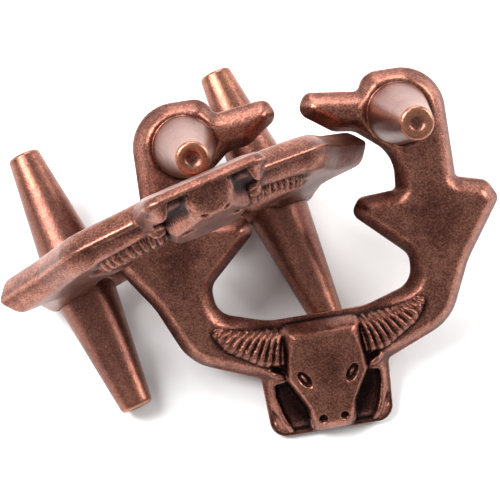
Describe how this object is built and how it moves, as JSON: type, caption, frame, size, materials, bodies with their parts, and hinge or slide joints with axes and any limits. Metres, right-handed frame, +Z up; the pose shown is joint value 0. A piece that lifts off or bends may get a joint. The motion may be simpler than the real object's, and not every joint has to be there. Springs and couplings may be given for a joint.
{
  "type": "metal ring disentanglement puzzle",
  "caption": "Two identical antique-copper cast rings, each with a bull's head in relief, bird-headed arms, spikes and two double-tapered pins, threaded on each other as a disentanglement puzzle.",
  "frame": {"origin": "centre of the puzzle's footprint, on the surface it lies on", "axes": "+Z up from the surface; +X across ring A, from its left arm to its right; +Y from ring A's bull's head back towards its bird heads, along the surface"},
  "size_m": [0.0664, 0.0514, 0.0454],
  "materials": {
    "antique_copper": "satin",
    "pin_copper": "satin"
  },
  "bodies": {
    "ring_a": {"ring_a_casting": "antique_copper", "ring_a_pin_left": "pin_copper", "ring_a_pin_right": "pin_copper"},
    "ring_b": {"ring_b_casting": "antique_copper", "ring_b_pin_left": "pin_copper", "ring_b_pin_right": "pin_copper"}
  },
  "joints": [
    {"name": "ring_b_tip", "type": "hinge", "parent": "ring_a", "child": "ring_b", "pos_m": [-0.00882, 0.00347, 0.01332], "axis": [0.963, 0.2694, 0], "range_deg": [0, 36]}
  ]
}
